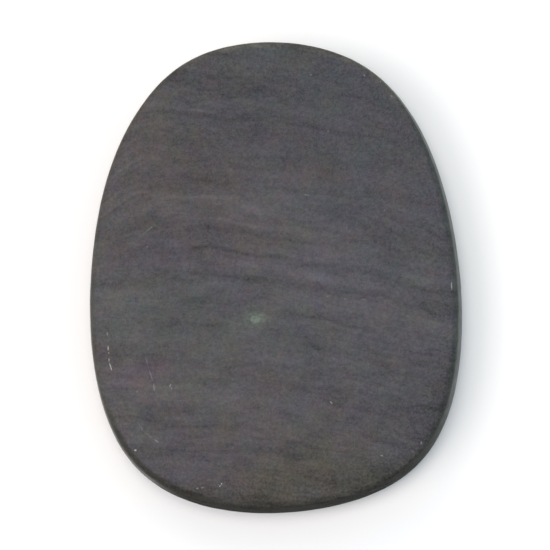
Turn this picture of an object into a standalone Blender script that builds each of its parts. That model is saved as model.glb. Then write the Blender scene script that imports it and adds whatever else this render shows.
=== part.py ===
"""Basalt massage stone: a flat, egg-shaped belly stone with rolled edges.

The stone lies on its lower face, with its long way along Y and its narrow end at +Y.
The origin is on the ground, under the middle of the stone. Lengths are in metres.
A small pale green mineral grain sits in a shallow pocket of the upper face.
"""

import bmesh
import bpy
from math import asin, cos, pi, radians, sin
from mathutils import Vector

# Overall size
LENGTH = 0.150
WIDTH = 0.118
THICKNESS = 0.022

# Rolled edge between each honed face and the side wall, and the curve of that wall
EDGE_RADIUS = 0.0021
WALL_RADIUS = 0.045

# Control points of the closed outline curve, anticlockwise from the right-hand side.
# Only their proportions matter: the curve is scaled to WIDTH and LENGTH.
STONE_OUTLINE = (
    (59.5, 20.5),
    (36.0, 73.5),
    (-18.5, 78.0),
    (-44.5, 58.5),
    (-62.0, 14.0),
    (-56.5, -76.5),
    (29.0, -77.5),
    (60.5, -48.5),
)

# Mineral grain, its place in the upper face, and the gap to its pocket
GRAIN_LENGTH = 0.0038
GRAIN_WIDTH = 0.0030
GRAIN_DEPTH = 0.0014
GRAIN_SUNK = 0.0001
GRAIN_CENTRE = (-0.0054, -0.0149)
GRAIN_BEVEL = 0.00025
GRAIN_GAP = 0.0003
GRAIN_OUTLINE = (
    (2.4, 0.8),
    (0.6, 0.7),
    (-0.9, 2.0),
    (-2.4, 0.1),
    (-0.3, -2.0),
    (1.2, -0.8),
)

# Smoothness of the curves
STONE_STEPS = 12
GRAIN_STEPS = 4
EDGE_STEPS = 6
WALL_STEPS = 3
SHARP_ANGLE = radians(35)

# Materials
BASALT_COLOUR = (0.060, 0.058, 0.061, 1.0)
BASALT_ROUGHNESS = 0.5
GRAIN_COLOUR = (0.110, 0.140, 0.112, 1.0)
GRAIN_ROUGHNESS = 0.4


def clear_scene():
    for thing in list(bpy.data.objects):
        bpy.data.objects.remove(thing, do_unlink=True)


def mineral(name, colour, roughness):
    material = bpy.data.materials.new(name)
    material.use_nodes = True
    shader = material.node_tree.nodes["Principled BSDF"]
    shader.inputs["Base Color"].default_value = colour
    shader.inputs["Roughness"].default_value = roughness
    shader.inputs["Metallic"].default_value = 0.0
    material.diffuse_color = colour
    return material


def closed_curve(controls, steps, width, length):
    """Points along a closed cubic curve, centred and scaled to width by length."""
    curve = bpy.data.curves.new("outline", 'CURVE')
    curve.dimensions = '2D'
    curve.fill_mode = 'NONE'
    spline = curve.splines.new('NURBS')
    spline.points.add(len(controls) - 1)
    for point, (x, y) in zip(spline.points, controls):
        point.co = (x, y, 0.0, 1.0)
    spline.order_u = 4
    spline.resolution_u = steps
    spline.use_cyclic_u = True
    guide = bpy.data.objects.new("outline", curve)
    points = [vertex.co.copy() for vertex in guide.to_mesh().vertices]
    guide.to_mesh_clear()
    bpy.data.objects.remove(guide)
    bpy.data.curves.remove(curve)

    left, right = min(p.x for p in points), max(p.x for p in points)
    near, far = min(p.y for p in points), max(p.y for p in points)
    return [
        Vector((
            (p.x - (left + right) / 2) * width / (right - left),
            (p.y - (near + far) / 2) * length / (far - near),
        ))
        for p in points
    ]


def inset(outline, distance):
    """The outline moved inwards by distance, or outwards if it is negative."""
    moved = []
    for index, point in enumerate(outline):
        along = outline[(index + 1) % len(outline)] - outline[index - 1]
        inwards = Vector((-along.y, along.x)).normalized()
        moved.append(point + inwards * distance)
    return moved


def edge_profile():
    """Inset and height of each level of the stone, from the lower face to the upper one.

    The side wall is a shallow arc that swells outwards at mid height and runs smoothly
    into the arcs of the two rolled edges.
    """
    half = THICKNESS / 2
    turn = asin((half - EDGE_RADIUS) / (WALL_RADIUS - EDGE_RADIUS))
    edge_centre = WALL_RADIUS - (WALL_RADIUS - EDGE_RADIUS) * cos(turn)
    upper = []
    for step in range(WALL_STEPS):
        angle = turn * step / WALL_STEPS
        upper.append((WALL_RADIUS * (1 - cos(angle)), WALL_RADIUS * sin(angle)))
    for step in range(EDGE_STEPS + 1):
        angle = turn + (pi / 2 - turn) * step / EDGE_STEPS
        upper.append((
            edge_centre - EDGE_RADIUS * cos(angle),
            half - EDGE_RADIUS * (1 - sin(angle)),
        ))
    lower = [(distance, -height) for distance, height in reversed(upper[1:])]
    return [(distance, half + height) for distance, height in lower + upper]


def stacked_solid(name, levels):
    """A closed solid through matching rings of points, each given with its height."""
    bm = bmesh.new()
    rings = [
        [bm.verts.new((point.x, point.y, height)) for point in ring]
        for ring, height in levels
    ]
    for lower, upper in zip(rings, rings[1:]):
        for index in range(len(lower)):
            after = (index + 1) % len(lower)
            bm.faces.new((lower[index], lower[after], upper[after], upper[index]))
    bm.faces.new(reversed(rings[0]))
    bm.faces.new(rings[-1])
    mesh = bpy.data.meshes.new(name)
    bm.to_mesh(mesh)
    bm.free()
    solid = bpy.data.objects.new(name, mesh)
    bpy.context.scene.collection.objects.link(solid)
    return solid


def smooth(solid):
    solid.data.shade_smooth()
    solid.data.set_sharp_from_angle(angle=SHARP_ANGLE)


def make_stone():
    outline = closed_curve(STONE_OUTLINE, STONE_STEPS, WIDTH, LENGTH)
    levels = [(inset(outline, distance), height) for distance, height in edge_profile()]
    stone = stacked_solid("stone_body", levels)
    stone.data.materials.append(mineral("basalt", BASALT_COLOUR, BASALT_ROUGHNESS))
    smooth(stone)
    return stone


def grain_outline():
    outline = closed_curve(GRAIN_OUTLINE, GRAIN_STEPS, GRAIN_LENGTH, GRAIN_WIDTH)
    return [point + Vector(GRAIN_CENTRE) for point in outline]


def make_grain():
    outline = grain_outline()
    top = THICKNESS - GRAIN_SUNK
    levels = [
        (outline, top - GRAIN_DEPTH),
        (outline, top - GRAIN_BEVEL),
        (inset(outline, GRAIN_BEVEL), top),
    ]
    grain = stacked_solid("green_inclusion", levels)
    grain.data.materials.append(mineral("green_mineral", GRAIN_COLOUR, GRAIN_ROUGHNESS))
    smooth(grain)
    return grain


def cut_pocket(stone):
    """Sink the grain's pocket into the upper face."""
    opening = inset(grain_outline(), -GRAIN_GAP)
    floor = THICKNESS - GRAIN_SUNK - GRAIN_DEPTH - GRAIN_GAP
    cutter = stacked_solid("pocket_cutter", [(opening, floor), (opening, THICKNESS + EDGE_RADIUS)])
    cutter.hide_render = True
    cutter.display_type = 'WIRE'
    pocket = stone.modifiers.new("grain_pocket", 'BOOLEAN')
    pocket.operation = 'DIFFERENCE'
    pocket.solver = 'EXACT'
    pocket.object = cutter


clear_scene()
stone_body = make_stone()
make_grain()
cut_pocket(stone_body)
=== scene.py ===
"""Basalt massage stone on a pale studio floor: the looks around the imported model.

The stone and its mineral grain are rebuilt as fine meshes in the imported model's frame.
Mesh, camera, floor and bump lengths are in metres. The tables of marks, layers and patches,
and places inside a material, are in mm.
"""

from collections import namedtuple
from math import cos, exp, pi, radians, sin

import bmesh
import bpy
import numpy as np
from mathutils import Matrix, Vector, noise
from mathutils.kdtree import KDTree


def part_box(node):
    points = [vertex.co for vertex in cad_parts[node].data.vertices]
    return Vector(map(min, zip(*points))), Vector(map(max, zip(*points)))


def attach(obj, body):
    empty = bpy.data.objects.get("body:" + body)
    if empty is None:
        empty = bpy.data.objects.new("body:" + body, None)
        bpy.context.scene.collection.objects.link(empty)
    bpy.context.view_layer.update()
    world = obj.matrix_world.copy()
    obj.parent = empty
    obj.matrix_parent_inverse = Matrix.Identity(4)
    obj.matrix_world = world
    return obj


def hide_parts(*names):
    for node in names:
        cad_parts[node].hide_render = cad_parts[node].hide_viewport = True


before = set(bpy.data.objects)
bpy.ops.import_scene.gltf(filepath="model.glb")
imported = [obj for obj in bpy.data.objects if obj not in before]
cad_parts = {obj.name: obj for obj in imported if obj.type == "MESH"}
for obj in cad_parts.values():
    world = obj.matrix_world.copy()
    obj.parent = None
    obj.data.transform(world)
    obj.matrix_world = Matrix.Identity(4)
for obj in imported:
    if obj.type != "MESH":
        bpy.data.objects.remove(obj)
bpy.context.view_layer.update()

MM = 0.001
STONE_LOW, STONE_HIGH = (np.array(corner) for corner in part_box("stone_body"))
GRAIN_LOW, GRAIN_HIGH = (np.array(corner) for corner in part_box("green_inclusion"))
THICKNESS = STONE_HIGH[2] - STONE_LOW[2]
MIDDLE_HEIGHT = STONE_LOW[2] + THICKNESS / 2
FACE_HEIGHT_MM = THICKNESS / MM

# Stone: outline control points (only their proportions matter) and edge arcs
STONE_OUTLINE = (
    (59.5, 20.5),
    (36.0, 73.5),
    (-18.5, 78.0),
    (-44.5, 58.5),
    (-62.0, 14.0),
    (-56.5, -76.5),
    (29.0, -77.5),
    (60.5, -48.5),
)
EDGE_RADIUS = 2.1 * MM
WALL_RADIUS = 45 * MM
# Where the upper edge is rolled wider or tighter: direction in degrees, spread, change in mm
EDGE_CHANGES = ((252, 26, 1.3), (303, 12, -0.9), (330, 16, 0.5), (10, 22, 0.5), (75, 40, -0.4))
# Both faces bow down a little towards the rim
SHOULDER_DROP = 0.35 * MM
SHOULDER_WIDTH = 6.0 * MM

# Mesh density: points between two control points, then rows of faces
OUTLINE_STEPS = 64
FACE_STEPS = 75
EDGE_ROWS = 8
HALF_WALL_ROWS = 8

# Mineral grain: outline in proportion only, mesh density, fit in its pocket, then the
# cleavage facets of its top
GRAIN_OUTLINE = (
    (2.4, 0.8),
    (0.6, 0.7),
    (-0.9, 2.0),
    (-2.4, 0.1),
    (-0.3, -2.0),
    (1.2, -0.8),
)
GRAIN_OUTLINE_STEPS = 24
GRAIN_STEPS = 12
POCKET_STEPS = 4
GRAIN_DEEP = 0.8 * MM
GRAIN_FIT = 0.02 * MM
GRAIN_FACETS = 9
FACET_TILT = 0.05
FACET_RISE = 0.5
FACET_SEED = 7
# Edges that turn more than this stay crisp
SHARP_ANGLE = radians(50)

# Slow unevenness of the honed faces and the tumbled rim: size and height
FACE_WAVE = (18 * MM, 0.03 * MM)
RIM_WAVE = (5 * MM, 0.06 * MM)
# Finer waves lie on each wave: how fast they fade, how much finer each is, and how many
FINER_WAVES = (1.0, 2.0, 2)

# Small marks where the stone is bruised: x, y, heading in degrees, length and width in
# mm, and strength from 0 to 1, which sets both how pale and how deep the mark is
MARKS = (
    # the broken scratch down the left side
    (-52.3, -19.1, 95, 1.4, 0.50, 0.36),
    (-52.0, -23.6, 93, 1.6, 0.40, 0.95),
    (-51.8, -25.1, 100, 0.7, 0.40, 0.45),
    (-51.7, -27.3, 97, 1.1, 0.45, 0.65),
    (-51.2, -29.4, 107, 2.7, 0.42, 1.00),
    # the faint bent scratch beside it, and specks near its end
    (-39.7, -28.0, 105, 4.2, 0.50, 0.13),
    (-38.4, -32.3, 107, 4.4, 0.50, 0.16),
    (-37.4, -35.9, 100, 2.6, 0.60, 0.20),
    (-32.3, -35.5, 70, 1.1, 0.50, 0.50),
    (-31.9, -36.4, 120, 0.7, 0.45, 0.30),
    (-42.7, -37.3, 45, 0.9, 0.60, 0.18),
    # chips and a curved scratch at the lower left
    (-41.7, -48.1, 123, 3.6, 0.40, 0.12),
    (-39.2, -50.9, 140, 4.2, 0.40, 0.13),
    (-43.2, -55.7, 10, 0.8, 0.60, 1.00),
    (-36.5, -52.9, 147, 1.9, 0.38, 0.42),
    (-16.1, -66.3, 60, 0.7, 0.40, 0.85),
    (-16.6, -67.0, 20, 0.6, 0.40, 0.70),
    (-17.1, -66.6, 20, 0.5, 0.35, 0.30),
    (-23.7, -67.7, 15, 0.9, 0.45, 0.35),
    (-22.1, -67.5, 10, 1.3, 0.50, 0.25),
    # chips at the lower right and on the right shoulder
    (18.2, -41.2, 130, 1.2, 0.45, 0.55),
    (46.1, -53.9, 80, 1.0, 0.50, 0.28),
    (43.5, -56.5, 15, 0.8, 0.45, 0.22),
    (33.8, -57.8, 165, 1.0, 0.45, 0.42),
    (55.9, -4.8, 93, 2.8, 0.40, 0.62),
    # small ticks over the middle and the upper half
    (17.1, -7.8, 30, 0.9, 0.50, 0.16),
    (22.5, -8.7, 20, 0.9, 0.50, 0.18),
    (28.5, -8.9, 170, 1.3, 0.50, 0.15),
    (10.5, 24.4, 170, 1.8, 0.38, 0.25),
    (35.1, 19.3, 60, 0.8, 0.50, 0.14),
    (28.9, 62.5, 130, 1.1, 0.45, 0.30),
    (33.9, 60.5, 120, 0.9, 0.45, 0.28),
    (37.5, 55.7, 125, 0.8, 0.45, 0.30),
    (12.0, 62.8, 20, 0.8, 0.50, 0.18),
    (17.4, 44.7, 80, 0.8, 0.50, 0.20),
    (-40.0, 13.4, 38, 5.6, 0.40, 0.12),
    (-38.6, 14.6, 30, 0.8, 0.50, 0.22),
    (-39.8, 8.5, 60, 0.7, 0.50, 0.16),
)
MARK_DEPTH = 0.12 * MM
MARK_MARGIN = 0.45 * MM
# How often the mesh is cut up near a mark, first coarsely and then closer
MARK_CUTS = (3, 1)
# Each mark breaks up into bits of this size, from a quarter to once and a quarter as strong
BREAK_SIZE = 0.3 * MM
BREAK_MIDDLE = 0.75
BREAK_SWING = 0.5
# A point is on the upper side where its normal points up at least this much
UPPER_SIDE = 0.2


def closed_curve(controls, steps, low, high):
    """Points along a closed cubic curve, scaled to fill the rectangle from low to high."""
    controls = np.array(controls)
    t = np.linspace(0, 1, steps, endpoint=False)
    basis = np.stack([
        (1 - t) ** 3,
        3 * t ** 3 - 6 * t ** 2 + 4,
        -3 * t ** 3 + 3 * t ** 2 + 3 * t + 1,
        t ** 3,
    ], axis=1) / 6
    spans = [basis @ np.roll(controls, -span, axis=0)[:4] for span in range(len(controls))]
    points = np.concatenate(spans)
    least, most = points.min(axis=0), points.max(axis=0)
    return low + (points - least) / (most - least) * (high - low)


def stone_outline():
    return closed_curve(STONE_OUTLINE, OUTLINE_STEPS, STONE_LOW[:2], STONE_HIGH[:2])


def grain_outline(margin):
    """The grain's outline, grown by a margin on each side."""
    low, high = GRAIN_LOW[:2] - margin, GRAIN_HIGH[:2] + margin
    return closed_curve(GRAIN_OUTLINE, GRAIN_OUTLINE_STEPS, low, high)


def even_loop(points, count):
    """The closed loop of points resampled to evenly spaced points along its length."""
    closed = np.vstack([points, points[:1]])
    along = np.concatenate([[0], np.cumsum(np.linalg.norm(np.diff(closed, axis=0), axis=1))])
    wanted = np.linspace(0, along[-1], count, endpoint=False)
    return np.stack([np.interp(wanted, along, closed[:, axis]) for axis in (0, 1)], axis=1)


def outward(loop):
    along = np.roll(loop, -1, axis=0) - np.roll(loop, 1, axis=0)
    normal = np.stack([along[:, 1], -along[:, 0]], axis=1)
    return normal / np.linalg.norm(normal, axis=1, keepdims=True)


def grid_places(steps):
    """For a square grid of 2*steps+1 points a side: each point's ring, from 0 at the
    middle to 1 at the rim, and its place round that ring, from 0 to 1."""
    side = np.arange(-steps, steps + 1)
    a, b = (part.ravel() for part in np.meshgrid(side, side, indexing='ij'))
    ring = np.maximum(abs(a), abs(b))
    safe = np.maximum(ring, 1)
    turn = np.select(
        [(a == ring) & (b > -ring), b == ring, a == -ring],
        [b, 2 * safe - a, 4 * safe - b],
        6 * safe + a,
    ) / (8 * safe)
    return ring / steps, turn % 1


def grid_quads(steps):
    side = 2 * steps + 1
    first = (np.arange(side - 1)[:, None] * side + np.arange(side - 1)).ravel()
    return np.stack([first, first + side, first + side + 1, first + 1], axis=1)


def rim_order(steps):
    """Grid indices of the rim points, in order round the rim."""
    ring, turn = grid_places(steps)
    rim = np.flatnonzero(ring == 1)
    return rim[np.argsort(turn[rim])]


def spread_inwards(rim, middle, steps):
    """Face points between the middle and a rim loop that starts at turn 0."""
    ring, turn = grid_places(steps)
    places = np.arange(len(rim) + 1) / len(rim)
    closed = np.vstack([rim, rim[:1]])
    at_rim = np.stack([np.interp(turn, places, closed[:, axis]) for axis in (0, 1)], axis=1)
    return middle + (at_rim - middle) * ring[:, None]


def edge_radii(directions):
    """Radius of the upper edge in each direction, in degrees."""
    radii = np.full(len(directions), EDGE_RADIUS)
    for centre, spread, change in EDGE_CHANGES:
        away = (directions - centre + 180) % 360 - 180
        radii += change * MM * np.exp(-(away / spread) ** 2)
    return radii


def half_profile(radii):
    """Rows of inset and height above mid height, from the wall's middle to the face."""
    half = THICKNESS / 2
    turn = np.arcsin((half - radii) / (WALL_RADIUS - radii))
    centre = WALL_RADIUS - (WALL_RADIUS - radii) * np.cos(turn)
    rows = []
    for step in range(HALF_WALL_ROWS):
        angle = turn * step / HALF_WALL_ROWS
        rows.append((WALL_RADIUS * (1 - np.cos(angle)), WALL_RADIUS * np.sin(angle)))
    for step in range(EDGE_ROWS + 1):
        angle = turn + (pi / 2 - turn) * step / EDGE_ROWS
        rows.append((centre - radii * np.cos(angle), half - radii * (1 - np.sin(angle))))
    return rows


def stone_rims(loop):
    """Loops round the stone, from the upper face's edge down to the lower face's edge."""
    normal = outward(loop)
    directions = np.degrees(np.arctan2(loop[:, 1], loop[:, 0])) % 360
    upper = half_profile(edge_radii(directions))
    lower = half_profile(np.full(len(loop), EDGE_RADIUS))
    rows = [(inset, MIDDLE_HEIGHT + rise) for inset, rise in reversed(upper)]
    rows += [(inset, MIDDLE_HEIGHT - rise) for inset, rise in lower[1:]]
    return [
        np.column_stack([loop - normal * inset[:, None], height])
        for inset, height in rows
    ]


def flat_face(rim, height):
    face = spread_inwards(rim[:, :2], np.zeros(2), FACE_STEPS)
    return np.column_stack([face, np.full(len(face), height)])


def stone_shell():
    """Vertices and faces of the plain stone: two honed faces and the rim between them."""
    count = 8 * FACE_STEPS
    rims = stone_rims(even_loop(stone_outline(), count))
    top = flat_face(rims[0], STONE_HIGH[2])
    bottom = flat_face(rims[-1], STONE_LOW[2])
    between = rims[1:-1]
    vertices = np.concatenate([top] + between + [bottom])

    order = rim_order(FACE_STEPS)
    first_bottom = len(top) + len(between) * count
    ids = [order]
    ids += [len(top) + row * count + np.arange(count) for row in range(len(between))]
    ids.append(first_bottom + order)
    quads = [grid_quads(FACE_STEPS), first_bottom + grid_quads(FACE_STEPS)[:, ::-1]]
    for above, below in zip(ids, ids[1:]):
        quads.append(np.stack([above, below, np.roll(below, -1), np.roll(above, -1)], axis=1))
    return vertices, np.concatenate(quads)


def mesh_object(name, vertices, quads):
    mesh = bpy.data.meshes.new(name)
    mesh.from_pydata(vertices.tolist(), [], quads.tolist())
    mesh.shade_smooth()
    mesh.update()
    piece = bpy.data.objects.new(name, mesh)
    bpy.context.scene.collection.objects.link(piece)
    return piece


def mark_frames(xy):
    """For each mark: how far each point lies along and across it, and the mark's sizes."""
    for x, y, heading, length, width, strength in MARKS:
        turn = radians(heading)
        away = xy - np.array((x, y)) * MM
        along = abs(away @ (cos(turn), sin(turn)))
        across = abs(away @ (-sin(turn), cos(turn)))
        yield along, across, length * MM / 2, width * MM / 2, strength


def bruises(xy):
    """How strongly each point is bruised, from 0 to 1."""
    bruise = np.zeros(len(xy))
    for along, across, half_length, half_width, strength in mark_frames(xy):
        cover = np.clip(1 - (along / half_length) ** 2 - (across / half_width) ** 2, 0, 1)
        bruise = np.maximum(bruise, strength * np.sqrt(cover))
    return bruise


def near_marks(xy):
    """Which points lie on a mark or just beside one."""
    near = np.zeros(len(xy), dtype=bool)
    for along, across, half_length, half_width, strength in mark_frames(xy):
        near |= (along < half_length + MARK_MARGIN) & (across < half_width + MARK_MARGIN)
    return near


def refine_near_marks(bm, cuts):
    upper = [face for face in bm.faces if face.normal.z > UPPER_SIDE]
    middles = np.array([face.calc_center_median()[:2] for face in upper])
    chosen = [face for face, near in zip(upper, near_marks(middles)) if near]
    edges = list({edge for face in chosen for edge in face.edges})
    bmesh.ops.subdivide_edges(bm, edges=edges, cuts=cuts, use_grid_fill=True)
    bm.normal_update()


def rim_insets(xy):
    """How far each point lies inside the stone's outline."""
    outline = stone_outline()
    tree = KDTree(len(outline))
    for index, (x, y) in enumerate(outline):
        tree.insert((x, y, 0), index)
    tree.balance()
    return [tree.find((x, y, 0))[2] for x, y in xy]


def unevenness(vertex):
    """How far a point stands out of the smooth stone, by its share of face and of rim."""
    flat = abs(vertex.normal.z)
    rise = 0.0
    for (size, height), share in ((FACE_WAVE, flat), (RIM_WAVE, 1 - flat)):
        rise += share * height * noise.fractal(vertex.co / size, *FINER_WAVES)
    return rise


def weather(bm):
    """Bow the faces, make everything slightly uneven and sink the marks into the top."""
    bruise_layer = bm.verts.layers.float.new("bruise")
    inset_layer = bm.verts.layers.float.new("inset")
    xy = np.array([vertex.co[:2] for vertex in bm.verts])
    for vertex, bruise, inset in zip(bm.verts, bruises(xy), rim_insets(xy)):
        rise = unevenness(vertex)
        if vertex.normal.z > UPPER_SIDE:
            bruise *= BREAK_MIDDLE + BREAK_SWING * noise.noise(vertex.co / BREAK_SIZE)
            rise -= bruise * MARK_DEPTH
            vertex[bruise_layer] = min(1.0, bruise)
        vertex[inset_layer] = inset / MM
        vertex.co += vertex.normal * rise
        bow = SHOULDER_DROP * exp(-(inset / SHOULDER_WIDTH) ** 2)
        from_middle = (vertex.co.z - MIDDLE_HEIGHT) * (1 - 2 * bow / THICKNESS)
        vertex.co.z = max(MIDDLE_HEIGHT + from_middle, STONE_LOW[2])


def detail_stone(stone):
    bm = bmesh.new()
    bm.from_mesh(stone.data)
    bm.normal_update()
    for cuts in MARK_CUTS:
        refine_near_marks(bm, cuts)
    weather(bm)
    bm.to_mesh(stone.data)
    bm.free()
    stone.data.shade_smooth()


def column(outline, steps, low, high):
    """Vertices and faces of an upright closed column over an outline."""
    middle = (outline.min(axis=0) + outline.max(axis=0)) / 2
    rim = even_loop(outline, 8 * steps)
    flat = spread_inwards(rim, middle, steps)
    top = np.column_stack([flat, np.full(len(flat), high)])
    bottom = np.column_stack([flat, np.full(len(flat), low)])
    order = rim_order(steps)
    below = order + len(flat)
    sides = np.stack([order, below, np.roll(below, -1), np.roll(order, -1)], axis=1)
    quads = [grid_quads(steps), grid_quads(steps)[:, ::-1] + len(flat), sides]
    return np.concatenate([top, bottom]), np.concatenate(quads)


def facet_height(xy):
    """Height of the grain's broken top: the lowest of several tilted cleavage planes."""
    dice = np.random.default_rng(FACET_SEED)
    reach = abs(xy).max()
    planes = []
    for _ in range(GRAIN_FACETS):
        tilt = dice.uniform(-FACET_TILT, FACET_TILT, 2)
        planes.append(xy @ tilt + dice.uniform(0, FACET_RISE) * FACET_TILT * reach)
    return np.minimum.reduce(planes)


def make_grain():
    low, high = STONE_HIGH[2] - GRAIN_DEEP, GRAIN_HIGH[2]
    vertices, quads = column(grain_outline(0), GRAIN_STEPS, low, high)
    top = np.flatnonzero(vertices[:, 2] == high)
    middle = (GRAIN_LOW[:2] + GRAIN_HIGH[:2]) / 2
    vertices[top, 2] += facet_height(vertices[top, :2] - middle)
    grain = mesh_object("green_grain", vertices, quads)
    grain.data.set_sharp_from_angle(angle=SHARP_ANGLE)
    return grain


def sink_pocket(stone):
    """Cut the grain's close-fitting pocket into the stone."""
    low, high = STONE_HIGH[2] - GRAIN_DEEP - GRAIN_FIT, STONE_HIGH[2] + GRAIN_DEEP
    cutter = mesh_object("pocket", *column(grain_outline(GRAIN_FIT), POCKET_STEPS, low, high))
    pocket = stone.modifiers.new("pocket", 'BOOLEAN')
    pocket.operation = 'DIFFERENCE'
    pocket.solver = 'EXACT'
    pocket.object = cutter
    shaped = stone.evaluated_get(bpy.context.evaluated_depsgraph_get())
    old = stone.data
    stone.data = bpy.data.meshes.new_from_object(shaped)
    stone.modifiers.clear()
    stone.data.set_sharp_from_angle(angle=SHARP_ANGLE)
    bpy.data.meshes.remove(old)
    bpy.data.objects.remove(cutter)


class Tree:
    """Short calls for wiring one node tree. Colours may be plain (red, green, blue)."""

    def __init__(self, tree):
        self.nodes = tree.nodes
        self.links = tree.links

    def add(self, kind, **settings):
        node = self.nodes.new(kind)
        for name, value in settings.items():
            setattr(node, name, value)
        return node

    def join(self, source, target):
        """Link a socket to the target socket, or set a plain number, vector or colour on it."""
        if isinstance(source, bpy.types.NodeSocket):
            self.links.new(source, target)
        elif target.type == 'RGBA':
            target.default_value = (*source, 1)
        else:
            target.default_value = source

    def math(self, operation, first, second=0.0):
        node = self.add('ShaderNodeMath', operation=operation)
        self.join(first, node.inputs[0])
        self.join(second, node.inputs[1])
        return node.outputs[0]

    def total(self, *terms):
        result = terms[0]
        for term in terms[1:]:
            result = self.math('ADD', result, term)
        return result

    def product(self, *terms):
        result = terms[0]
        for term in terms[1:]:
            result = self.math('MULTIPLY', result, term)
        return result

    def vector(self, x, y, z=0.0):
        node = self.add('ShaderNodeCombineXYZ')
        for value, target in zip((x, y, z), node.inputs):
            self.join(value, target)
        return node.outputs[0]

    def split(self, vector):
        node = self.add('ShaderNodeSeparateXYZ')
        self.join(vector, node.inputs[0])
        return node.outputs

    def scaled(self, vector, factor):
        node = self.add('ShaderNodeVectorMath', operation='SCALE')
        self.join(vector, node.inputs[0])
        self.join(factor, node.inputs["Scale"])
        return node.outputs[0]

    def vector_math(self, operation, *vectors):
        node = self.add('ShaderNodeVectorMath', operation=operation)
        for vector, target in zip(vectors, node.inputs):
            self.join(vector, target)
        return node.outputs["Value" if operation in ('DOT_PRODUCT', 'LENGTH') else "Vector"]

    def attribute(self, name):
        return self.add('ShaderNodeAttribute', attribute_name=name).outputs["Fac"]

    def noise(self, vector, size, detail=2.0, roughness=0.5):
        """Noise from 0 to 1 with features of the given size."""
        node = self.add('ShaderNodeTexNoise')
        self.join(vector, node.inputs["Vector"])
        node.inputs["Scale"].default_value = 1 / size
        node.inputs["Detail"].default_value = detail
        node.inputs["Roughness"].default_value = roughness
        return node.outputs["Fac"]

    def wobble(self, vector, size, amount, detail=2.0):
        """Noise that swings about zero, by about amount each way.

        Plain noise mostly stays within a quarter of its middle value, a half.
        """
        swing = self.math('SUBTRACT', self.noise(vector, size, detail), 0.5)
        return self.product(swing, 4 * amount)

    def steps(self, value, start, end, low=0.0, high=1.0):
        """A smooth change from low to high as value goes from start to end."""
        node = self.add('ShaderNodeMapRange', interpolation_type='SMOOTHSTEP')
        for number, target in zip((value, start, end, low, high), node.inputs):
            self.join(number, target)
        return node.outputs[0]

    def mix(self, factor, first, second):
        """One colour blended into another. The node's sockets 6, 7 and 2 are for colours."""
        node = self.add('ShaderNodeMix', data_type='RGBA')
        self.join(factor, node.inputs[0])
        self.join(first, node.inputs[6])
        self.join(second, node.inputs[7])
        return node.outputs[2]

    def ramp(self, factor, stops):
        node = self.add('ShaderNodeValToRGB')
        elements = node.color_ramp.elements
        while len(elements) < len(stops):
            elements.new(0.5)
        for element, (position, colour) in zip(elements, stops):
            element.position = position
            element.color = (*colour, 1)
        self.join(factor, node.inputs[0])
        return node.outputs[0]

    def bump(self, height, strength, distance):
        node = self.add('ShaderNodeBump')
        node.inputs["Strength"].default_value = strength
        node.inputs["Distance"].default_value = distance
        self.join(height, node.inputs["Height"])
        return node.outputs[0]


def new_material(name):
    """A new material, its node tree and the inputs of its shader."""
    material = bpy.data.materials.new(name)
    material.use_nodes = True
    shader = material.node_tree.nodes["Principled BSDF"]
    return material, Tree(material.node_tree), shader.inputs


# Light: name, where it comes from, its spread, strength and colour
LIGHTS = (
    ("overhead", (0.0, 0.0, 1.0), radians(30), 1.70, (1.0, 0.91, 0.84)),
    ("key", (-0.50, -0.18, 0.85), radians(30), 1.06, (1.0, 0.86, 0.80)),
    ("rear", (-0.28, 0.77, 0.57), radians(40), 0.48, (1.0, 0.80, 0.58)),
)
# The sky's level rises along this lean from a base, and picks one of these colours
SKY_LEAN = (0.10, 0.15, 0.40)
SKY_BASE = 0.20
SKY_COLOURS = (
    (0.0, (0.064, 0.077, 0.084)),
    (0.30, (0.29, 0.365, 0.42)),
    (0.60, (0.58, 0.73, 0.84)),
)
BACKDROP = (0.93, 0.94, 0.95)
FLOOR_COLOUR = (0.80, 0.80, 0.80)
FLOOR_HALF = 3.0
FLOOR_ROUGHNESS = 0.7
FLOOR_SHEEN = 0.2

# Camera: where it aims, how far off it stands, its tilt from straight above, the side that
# it tilts towards, the width that its picture covers at the stone, and its sensor in mm
CAMERA_AIM = Vector((-0.22, 0.50, 11.0)) * MM
CAMERA_DISTANCE = 0.900
CAMERA_TILT = radians(8.5)
CAMERA_SIDE = radians(-60)
VIEW_WIDTH = 174.825 * MM
SENSOR_WIDTH = 36
CLIP_START = 0.01


def make_camera():
    data = bpy.data.cameras.new("camera")
    data.sensor_width = SENSOR_WIDTH
    data.lens = SENSOR_WIDTH * CAMERA_DISTANCE / VIEW_WIDTH
    data.clip_start = CLIP_START
    camera = bpy.data.objects.new("camera", data)
    back = Vector((
        sin(CAMERA_TILT) * cos(CAMERA_SIDE),
        sin(CAMERA_TILT) * sin(CAMERA_SIDE),
        cos(CAMERA_TILT),
    ))
    right = Vector((0, 1, 0)).cross(back).normalized()
    turn = Matrix((right, back.cross(right), back)).transposed().to_4x4()
    camera.matrix_world = Matrix.Translation(CAMERA_AIM + back * CAMERA_DISTANCE) @ turn
    bpy.context.scene.collection.objects.link(camera)
    bpy.context.scene.camera = camera


def make_lights():
    """Broad soft lights overhead, at the left and behind."""
    for name, source, spread, power, colour in LIGHTS:
        data = bpy.data.lights.new(name, 'SUN')
        data.angle = spread
        data.energy = power
        data.color = colour
        light = bpy.data.objects.new(name, data)
        light.rotation_euler = (-Vector(source)).to_track_quat('-Z', 'Y').to_euler()
        bpy.context.scene.collection.objects.link(light)


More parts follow.
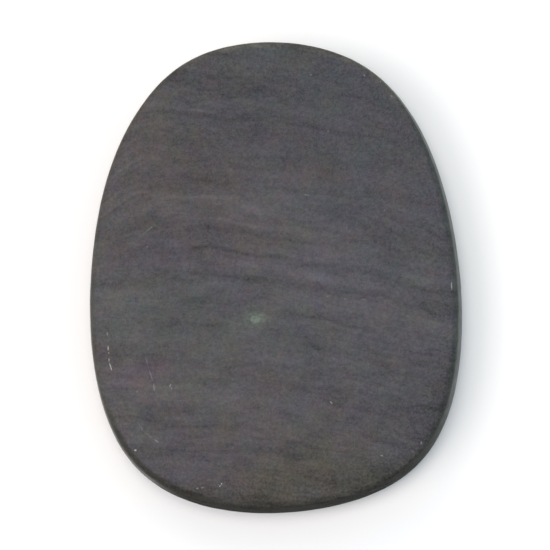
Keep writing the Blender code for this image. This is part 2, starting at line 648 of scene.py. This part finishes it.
def make_world():
    """Soft studio light, brightest overhead and dimmest low at the near side."""
    world = bpy.data.worlds.new("studio")
    bpy.context.scene.world = world
    world.use_nodes = True
    tree = Tree(world.node_tree)
    direction = tree.add('ShaderNodeTexCoord').outputs["Generated"]
    level = tree.total(tree.vector_math('DOT_PRODUCT', direction, SKY_LEAN), SKY_BASE)
    seen = tree.add('ShaderNodeLightPath').outputs["Is Camera Ray"]
    colour = tree.mix(seen, tree.ramp(level, SKY_COLOURS), BACKDROP)
    tree.join(colour, world.node_tree.nodes["Background"].inputs["Color"])


def make_floor():
    corners = np.array([(-1, -1, 0), (1, -1, 0), (1, 1, 0), (-1, 1, 0)]) * FLOOR_HALF
    floor = mesh_object("floor", corners, np.array([(0, 1, 2, 3)]))
    material, tree, shader = new_material("floor")
    tree.join(FLOOR_COLOUR, shader["Base Color"])
    tree.join(FLOOR_ROUGHNESS, shader["Roughness"])
    tree.join(FLOOR_SHEEN, shader["Specular IOR Level"])
    floor.data.materials.append(material)


# Basalt colours, linear, and how far they lean to warm and to red at full strength
BASALT_GREY = (0.0572, 0.0562, 0.0575)
WARM_LEAN = (0.027, 0.017, -0.107)
RED_LEAN = (0.050, -0.020, 0.0)
# Rim tints, partly the rim's own colour and partly painted light: the olive, a little paler, marks
# where the rim catches the warm light, and the green stands in for the cool light on the shaded
# right
RIM_OLIVE = (0.0665, 0.0615, 0.0505)
RIM_GREEN = (0.0520, 0.0610, 0.0530)
# Paler far edge: partly wear, partly painted sheen where the edge faces the light
WORN_SHEEN_EDGE = (0.0980, 0.0950, 0.0830)
# Painted shade in brown, on the near-side wall and in the line inside the lower-left rim
SHADE_BROWN = (0.0520, 0.0500, 0.0450)
DEEP_SHADE_BROWN = (0.0390, 0.0370, 0.0325)
BRUISED = (0.43, 0.44, 0.42)
HALO_GREEN = (0.0755, 0.0855, 0.0755)

# Finish: roughness of the honed stone and its noise size, swing and detail, then what the
# rim adds to it
HONED_ROUGHNESS = 0.50
HONED_SWING = (4, 0.06, 3)
RIM_POLISH = -0.12
MATT_RIM = 0.54
STONE_SHEEN = 0.10
# Bump of the rock's grain: noise size, detail and roughness, then strength and height
ROCK_BUMP = (0.7, 3, 0.6)
ROCK_BUMP_STRENGTH = 0.5
ROCK_BUMP_HEIGHT = 0.04 * MM

# Flow layers: place across the stone at its left side and half width, tone, and the part of
# the stone's width, from its middle, where the layer shows
LAYERS = (
    (52.9, 0.8, 0.30, -28, -20),
    (51.3, 1.3, -0.15, -36, 42),
    (51.3, 1.2, -0.12, 8, 36),
    (36.3, 0.9, 0.22, -56, -43),
    (31.0, 1.4, -0.25, 2, 22),
    (30.7, 1.0, 0.12, 34, 60),
    (26.6, 1.2, 0.22, -60, -40),
    (24.8, 1.2, 0.22, -36, -12),
    (17.2, 1.1, 0.12, -34, 20),
    (14.3, 1.2, -0.17, -26, 14),
    (8.2, 1.4, -0.19, -28, 60),
    (4.6, 2.4, 0.18, -12, 38),
    (0.3, 1.5, -0.16, -26, 8),
    (-9.2, 1.3, -0.15, 3, 44),
    (-16.2, 1.4, -0.14, -36, -16),
    (-18.1, 1.3, -0.14, 4, 20),
    (-34.3, 1.3, 0.20, -50, -18),
    (-45.4, 1.6, 0.14, -34, 16),
    (-45.6, 1.3, -0.17, -50, -32),
    (-47.8, 1.4, -0.28, -32, -10),
    (-48.8, 1.3, -0.26, -10, 22),
)
LAYER_FADE = 6
# The layers arch to the right of their peak, fall away at the upper left, dip as they go
# down into the stone, and waver: noise size, swing and detail
ARCH_PEAK = -45.0
ARCH_BEND = 0.0016
FALL_START = -37.0
FALL_BEND = 0.035
FALL_RISE = (-5.0, 30.0)
LAYER_DIP = 0.8
LAYER_WAVERS = ((24, 1.5, 2), (8, 0.4, 1))
# Where the single layers are weak and strong: how far X is squeezed, noise size and
# detail, then the noise's range and the strength at each end of it
CLOUD_SQUEEZE = 0.3
LAYER_CLOUDS = (9, 1)
LAYER_STRENGTH = (0.34, 0.52, 0.55, 1.1)
# Finer streaks and blotches: how far X and Z, or X alone, are squeezed, then noise size,
# swing and detail
STREAK_SQUEEZE = (0.10, 0.05)
STREAKS = ((11, 0.12, 1), (3.6, 0.16, 2), (1.1, 0.10, 2))
BLOTCH_SQUEEZE = 0.4
BLOTCHES = (2.6, 0.13, 2)
# The calmest part of the face: x, y, half length and half width, and how far the streaks
# weaken there
CALM_PATCH = (25, 36, 38, 32)
CALM_SHARE = 0.45
# Where a patch ends and where it is full, as shares of its half length and width
PATCH_EDGE = (1.3, 0.2)

# Soft patches of tone: x, y, half length and half width, tone
TONE_PATCHES = (
    (-3, 23, 17, 8, 0.11),
    (-34, 11, 24, 7, -0.17),
    (-29, 30, 17, 6, -0.09),
    (-20, 0, 8, 5, -0.07),
    (31, 10, 9, 6, -0.10),
    (21, -1, 11, 4, 0.09),
    (30, -30, 9, 6, -0.07),
    (-50, -13, 15, 15, 0.16),
    (-35, 54, 14, 8, 0.15),
    (-8, 38, 34, 9, -0.13),
    (28, -9, 15, 4, 0.06),
    (-26, -38, 20, 5, 0.05),
    (-6, 56, 17, 9, -0.08),
    (-4, 70, 9, 3, 0.08),
    (11, 70, 7, 4, -0.09),
    (13, -16, 17, 6, -0.11),
    (14, 5, 20, 8, 0.14),
    (-10, -19, 9, 7, 0.13),
    (-2, -50, 34, 6, 0.16),
    (24, -59, 15, 8, 0.13),
    (-4, -70, 11, 5, -0.12),
    (12, -69, 8, 4, 0.11),
    (25, -41, 14, 5, 0.09),
)
TONE_RAGGED = (6, 0.25)
# Soft patches of hue: x, y, half length and half width, then lean to warm and to red
HUE_PATCHES = (
    (-36, -9, 26, 16, -0.1, -1.3),
    (-5, -20, 26, 11, 0.0, -1.2),
    (-14, -4, 12, 9, -0.7, 0.0),
    (-30, 28, 26, 16, 0.3, 0.5),
    (-2, 70, 20, 8, 0.8, -0.6),
    (-32, -58, 20, 12, -0.7, 0.2),
    (-45, -31, 15, 5, -0.7, 1.3),
    (-38, 49, 11, 7, 0.8, 0.0),
    (-33, 7, 14, 8, -0.6, 0.0),
    (-14, -69, 15, 6, -0.9, 0.0),
    (11, 70, 7, 5, 0.0, 1.0),
    (5, 11, 13, 7, 0.7, 0.2),
    (12, 31, 18, 5, 0.6, 1.0),
)
HUE_RAGGED = (7, 0.25)

# Painted shade: slow drifts of tone along Y, darker towards the far and near ends where less light
# falls: from, to, and the tone at each
FAR_SHADE = (62, 14, -0.10, 0.02)
NEAR_SHADE = (-26, -64, 0.0, -0.15)
# The same painted shade along a direction to the low right, where the light falls off, and inwards
# from the outline on the near side's shoulder, which rolls away from the light
LOW_RIGHT = (0.5, -0.85, 0)
LOW_RIGHT_SHADE = (35, 70, 0.0, -0.07)
SHOULDER_SHADE = (2.5, 9.5, -0.12, 0.0)
# Painted shade: change of tone for each mm to the right, away from the light at the left
RIGHT_SHADE = -0.0016
# Speckle of tone: noise size, swing and detail
ROCK_SPECKLE = ((14, 0.06, 2), (5, 0.04, 1), (2.2, 0.08, 2), (0.9, 0.19, 1), (0.45, 0.13, 1))

# Slow drifts of hue, from the lower left to the upper right and down to the lower middle:
# slopes, raggedness as noise size, swing and detail, then from, to and the lean at each
SIDE_LEAN = 0.4
SIDE_RAGGED = (20, 12, 1)
SIDE_WARM = (-35, 30, 0.0, -0.85)
SIDE_RED = (-30, 30, 1.1, 0.15)
LOW_MIDDLE = 15.0
LOW_SLOPE = 0.5
LOW_RAGGED = (12, 6, 2)
LOW_WARM = (-40, -60, 0.0, 1.5)
# Mottling: noise size and swing to warm, then slice of the noise, size and swing to red
WARM_MOTTLE = ((11, 0.50), (5, 0.62), (2.2, 0.42))
RED_MOTTLE = ((7.0, 13, 0.7), (3.0, 5, 1.1), (5.0, 2.2, 0.8))

# Sides of the stone: a heading in degrees, then how far off it a side starts and is full
# Side where the rim's green stands in for the cool light on the shaded right
GREEN_SIDE = (0, 70, 40)
# Side of the paler far edge, partly wear and partly painted sheen
WORN_SHEEN_SIDE = (80, 34, 14)
# Side of the painted shade line inside the lower-left rim
SHADE_LINE_SIDE = (238, 22, 10)
# Side where the painted shade is the deeper brown
DEEP_SHADE_SIDE = (252, 45, 10)
# Side where the face's shoulder is painted darker as shade
SHOULDER_SIDE = (292, 75, 25)
# Near sides where the rim is rougher and also painted darker as shade
MATT_AND_SHADED_SIDES = ((300, 62, 50), (265, 64, 22))
# Bands round the rim: how far inside the outline each is absent and full
# The first two are the painted shade line at the lower left
SHADE_LINE_START = (0.9, 1.7)
SHADE_LINE_END = (3.6, 2.3)
WORN_SHEEN_END = (3.8, 2.0)
TINT_END = (3.2, 1.2)
# The rim's tint on its way up the wall: from, to, and its strength at each
TINT_RISE = (4, 16, 0.4, 0.8)
# How far the surface points up where the rim is absent and full, and the same for the paler far
# edge, partly wear and partly painted sheen
RIM_LEVEL = (0.95, 0.45)
WORN_SHEEN_LEVEL = (0.3, 0.8)
# Clouds of the paler far edge, partly wear and partly painted sheen: noise size and detail, then
# its range and the strength at each end of it
WORN_SHEEN_CLOUDS = (8, 2)
WORN_SHEEN_STRENGTH = (0.40, 0.60, 0.15, 0.9)

# Green halo in the basalt: raggedness as noise size and swing, and how far from the
# grain's middle it is absent and full
HALO_RAGGED = (1.3, 0.8)
HALO_EDGE = (3.1, 1.0)
# Halo and grain are longer along X, by the inverse of this share
REACH_ALONG_X = 0.65

# Green mineral: colours, linear, clouds, fade at its outline and finish
GRAIN_PALE = (0.112, 0.140, 0.118)
GRAIN_GREEN = (0.088, 0.107, 0.090)
GRAIN_EDGE = (0.077, 0.089, 0.078)
GRAIN_CLOUDS = (0.9, 3, 0.6)
GRAIN_CLOUD_RANGE = (0.38, 0.58)
GRAIN_RAGGED = (0.8, 0.4)
GRAIN_FADE = (0.7, 1.5)
GRAIN_ROUGHNESS = 0.42
GRAIN_SWING = (0.4, 0.08)
GRAIN_BUMP = (0.25, 2)
GRAIN_BUMP_STRENGTH = 0.4
GRAIN_BUMP_HEIGHT = 0.02 * MM

# A shaded point: its place in mm, how far its normal points up and how far it lies inside
# the outline
Place = namedtuple("Place", "p x y z up inset")


def patch(tree, p, ragged, x, y, half_length, half_width):
    """A soft ragged patch: 1 near its middle and 0 outside it."""
    size = (1 / half_length, 1 / half_width, 0)
    start = (-x / half_length, -y / half_width, 0)
    reach = tree.vector_math('LENGTH', tree.vector_math('MULTIPLY_ADD', p, size, start))
    return tree.steps(tree.total(reach, ragged), *PATCH_EDGE)


def facing(tree, p, degrees, start, end):
    """Rises from 0 to 1 as the direction from the stone's middle nears a heading."""
    x, y, z = tree.split(p)
    direction = tree.vector_math('NORMALIZE', tree.vector(x, y))
    heading = (cos(radians(degrees)), sin(radians(degrees)), 0)
    nearness = tree.vector_math('DOT_PRODUCT', direction, heading)
    return tree.steps(nearness, cos(radians(start)), cos(radians(end)))


def layer_place(tree, at):
    """How far across the flow layers a point lies."""
    from_peak = tree.math('SUBTRACT', at.x, ARCH_PEAK)
    arch = tree.product(from_peak, from_peak, ARCH_BEND)
    left = tree.math('MINIMUM', tree.math('SUBTRACT', at.x, FALL_START), 0.0)
    fall = tree.product(left, left, FALL_BEND, tree.steps(at.y, *FALL_RISE))
    dip = tree.product(tree.math('SUBTRACT', at.z, FACE_HEIGHT_MM), LAYER_DIP)
    wavers = (tree.wobble(at.p, *waver) for waver in LAYER_WAVERS)
    return tree.total(at.y, arch, fall, dip, *wavers)


def named_layers(tree, x, across):
    """The strongest single layers, as a tone about zero."""
    tones = []
    for centre, half_width, tone, first, last in LAYERS:
        away = tree.math('ABSOLUTE', tree.math('SUBTRACT', across, centre))
        begun = tree.steps(x, first - LAYER_FADE, first + LAYER_FADE)
        over = tree.steps(x, last + LAYER_FADE, last - LAYER_FADE)
        tones.append(tree.product(begun, over, tree.steps(away, half_width, 0.0, 0.0, tone)))
    return tree.total(*tones)


def layer_streaks(tree, at):
    """Light and dark streaks of the flow layers, as a tone about zero."""
    across = layer_place(tree, at)
    squeeze_x, squeeze_z = STREAK_SQUEEZE
    streak = tree.vector(tree.product(at.x, squeeze_x), across, tree.product(at.z, squeeze_z))
    cloud = tree.vector(tree.product(at.x, CLOUD_SQUEEZE), across, at.z)
    blotch = tree.vector(tree.product(at.x, BLOTCH_SQUEEZE), across, at.z)
    strength = tree.steps(tree.noise(cloud, *LAYER_CLOUDS), *LAYER_STRENGTH)
    streaks = tree.total(
        tree.product(named_layers(tree, at.x, across), strength),
        *(tree.wobble(streak, *sizes) for sizes in STREAKS),
        tree.wobble(blotch, *BLOTCHES),
    )
    calm = tree.product(patch(tree, at.p, 0.0, *CALM_PATCH), CALM_SHARE)
    return tree.product(streaks, tree.math('SUBTRACT', 1.0, calm))


def tone_patches(tree, p):
    """Broad paler and darker patches, as a tone about zero."""
    ragged = tree.wobble(p, *TONE_RAGGED)
    return tree.total(*(
        tree.product(patch(tree, p, ragged, *place), tone)
        for *place, tone in TONE_PATCHES
    ))


def hue_patches(tree, p):
    """How far the broad patches lean to warm and to red."""
    ragged = tree.wobble(p, *HUE_RAGGED)
    warm, red = [], []
    for *place, to_warm, to_red in HUE_PATCHES:
        strength = patch(tree, p, ragged, *place)
        warm.append(tree.product(strength, to_warm))
        red.append(tree.product(strength, to_red))
    return tree.total(*warm), tree.total(*red)


def basalt_tone(tree, at):
    """Light and dark from the streaks and the speckle of the rock, with painted shade in slow
    drifts over the face and on the near shoulder.
    """
    low_right = tree.vector_math('DOT_PRODUCT', at.p, LOW_RIGHT)
    shoulder = tree.steps(at.inset, *SHOULDER_SHADE)
    return tree.total(
        1.0,
        layer_streaks(tree, at),
        tone_patches(tree, at.p),
        # Painted shade, darker where less light falls, in the drifts and on the shoulder below
        tree.steps(at.y, *FAR_SHADE),
        tree.steps(at.y, *NEAR_SHADE),
        tree.steps(low_right, *LOW_RIGHT_SHADE),
        tree.product(at.x, RIGHT_SHADE),
        tree.product(shoulder, facing(tree, at.p, *SHOULDER_SIDE)),
        *(tree.wobble(at.p, *speckle) for speckle in ROCK_SPECKLE),
    )


def basalt_hue(tree, at):
    """Violet at the right and top, reddish at the left, brown low down, mottled all over."""
    side = tree.total(at.x, tree.product(at.y, SIDE_LEAN), tree.wobble(at.p, *SIDE_RAGGED))
    aside = tree.math('ABSOLUTE', tree.math('SUBTRACT', at.x, LOW_MIDDLE))
    low = tree.total(at.y, tree.wobble(at.p, *LOW_RAGGED), tree.product(aside, LOW_SLOPE))
    patch_warm, patch_red = hue_patches(tree, at.p)
    warm = tree.total(
        patch_warm,
        tree.steps(side, *SIDE_WARM),
        tree.steps(low, *LOW_WARM),
        *(tree.wobble(at.p, size, swing, 1) for size, swing in WARM_MOTTLE),
    )
    red = tree.total(
        patch_red,
        tree.steps(side, *SIDE_RED),
        *(
            tree.wobble(tree.vector(at.y, at.x, slice_at), size, swing, 1)
            for slice_at, size, swing in RED_MOTTLE
        ),
    )
    return tree.vector(*(
        tree.product(grey, tree.total(1.0, tree.product(warm, to_warm), tree.product(red, to_red)))
        for grey, to_warm, to_red in zip(BASALT_GREY, WARM_LEAN, RED_LEAN)
    ))


def painted_shade_line(tree, at):
    """Painted shade: a dark brown line just inside the rim at the lower left, where the face
    starts to roll over the edge.
    """
    return tree.product(
        tree.steps(at.inset, *SHADE_LINE_START),
        tree.steps(at.inset, *SHADE_LINE_END),
        facing(tree, at.p, *SHADE_LINE_SIDE),
    )


def worn_sheen_edge(tree, at):
    """Where the far edge is paler: partly rubbed, partly painted sheen where it faces the light.
    """
    return tree.product(
        tree.steps(at.inset, *WORN_SHEEN_END),
        tree.steps(at.up, *WORN_SHEEN_LEVEL),
        tree.steps(tree.noise(at.p, *WORN_SHEEN_CLOUDS), *WORN_SHEEN_STRENGTH),
        facing(tree, at.p, *WORN_SHEEN_SIDE),
    )


def tint_rim(tree, colour, at, matt_and_shaded_rim):
    """Olive round the rim and green at the right, partly painted light; a paler far edge, partly
    wear and partly painted sheen; dark brown painted shade on the near side.
    """
    tint = tree.mix(facing(tree, at.p, *GREEN_SIDE), RIM_OLIVE, RIM_GREEN)
    tinted = tree.product(tree.steps(at.inset, *TINT_END), tree.steps(at.z, *TINT_RISE))
    # Brown painted shade on the near side, deeper towards the lower left
    brown = tree.mix(facing(tree, at.p, *DEEP_SHADE_SIDE), SHADE_BROWN, DEEP_SHADE_BROWN)
    painted_shade_mask = tree.math('MAXIMUM', matt_and_shaded_rim, painted_shade_line(tree, at))
    colour = tree.mix(tinted, colour, tint)
    colour = tree.mix(worn_sheen_edge(tree, at), colour, WORN_SHEEN_EDGE)
    return tree.mix(painted_shade_mask, colour, brown)


def grain_reach(tree, p, size, swing):
    """Distance from the green grain's middle, shorter along X and made ragged."""
    middle = (GRAIN_LOW + GRAIN_HIGH) / 2 / MM
    away = tree.vector_math('SUBTRACT', p, (middle[0], middle[1], FACE_HEIGHT_MM))
    x, y, z = tree.split(away)
    reach = tree.vector_math('LENGTH', tree.vector(tree.product(x, REACH_ALONG_X), y, z))
    return tree.total(reach, tree.wobble(p, size, swing))


def basalt():
    """Honed grey basalt with flow layers, soft patches, a tinted rim and pale marks."""
    material, tree, shader = new_material("honed_basalt")
    coordinates = tree.add('ShaderNodeTexCoord').outputs
    p = tree.scaled(coordinates["Object"], 1 / MM)
    up = tree.split(coordinates["Normal"])[2]
    at = Place(p, *tree.split(p), up, tree.attribute("inset"))
    rim = tree.steps(tree.math('ABSOLUTE', up), *RIM_LEVEL)
    # Rougher on the near sides, where the colour is also painted darker as shade
    matt_and_shaded_rim = tree.product(rim, *(facing(tree, p, *side) for side in MATT_AND_SHADED_SIDES))

    colour = tint_rim(tree, basalt_hue(tree, at), at, matt_and_shaded_rim)
    halo = tree.steps(grain_reach(tree, p, *HALO_RAGGED), *HALO_EDGE)
    colour = tree.mix(halo, colour, HALO_GREEN)
    colour = tree.scaled(colour, basalt_tone(tree, at))
    colour = tree.mix(tree.attribute("bruise"), colour, BRUISED)
    roughness = tree.total(
        tree.product(rim, RIM_POLISH),
        tree.product(matt_and_shaded_rim, MATT_RIM),
        tree.wobble(p, *HONED_SWING),
        HONED_ROUGHNESS,
    )
    bump = tree.bump(tree.noise(p, *ROCK_BUMP), ROCK_BUMP_STRENGTH, ROCK_BUMP_HEIGHT)
    tree.join(colour, shader["Base Color"])
    tree.join(roughness, shader["Roughness"])
    tree.join(STONE_SHEEN, shader["Specular IOR Level"])
    tree.join(bump, shader["Normal"])
    return material


def green_mineral():
    """Pale and deeper green clouds that fade towards the stone's grey at the outline."""
    material, tree, shader = new_material("green_mineral")
    p = tree.scaled(tree.add('ShaderNodeTexCoord').outputs["Object"], 1 / MM)
    cloud = tree.steps(tree.noise(p, *GRAIN_CLOUDS), *GRAIN_CLOUD_RANGE)
    fade = tree.steps(grain_reach(tree, p, *GRAIN_RAGGED), *GRAIN_FADE)
    colour = tree.mix(fade, tree.mix(cloud, GRAIN_GREEN, GRAIN_PALE), GRAIN_EDGE)
    roughness = tree.total(tree.wobble(p, *GRAIN_SWING), GRAIN_ROUGHNESS)
    bump = tree.bump(tree.noise(p, *GRAIN_BUMP), GRAIN_BUMP_STRENGTH, GRAIN_BUMP_HEIGHT)
    tree.join(colour, shader["Base Color"])
    tree.join(roughness, shader["Roughness"])
    tree.join(STONE_SHEEN, shader["Specular IOR Level"])
    tree.join(bump, shader["Normal"])
    return material


stone = mesh_object("stone_surface", *stone_shell())
detail_stone(stone)
sink_pocket(stone)
stone.data.materials.clear()
stone.data.materials.append(basalt())
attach(stone, "root")
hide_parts("stone_body")

grain = make_grain()
grain.data.materials.append(green_mineral())
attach(grain, "root")
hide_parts("green_inclusion")

make_floor()
make_camera()
make_world()
make_lights()
bpy.context.scene.view_settings.view_transform = 'Standard'
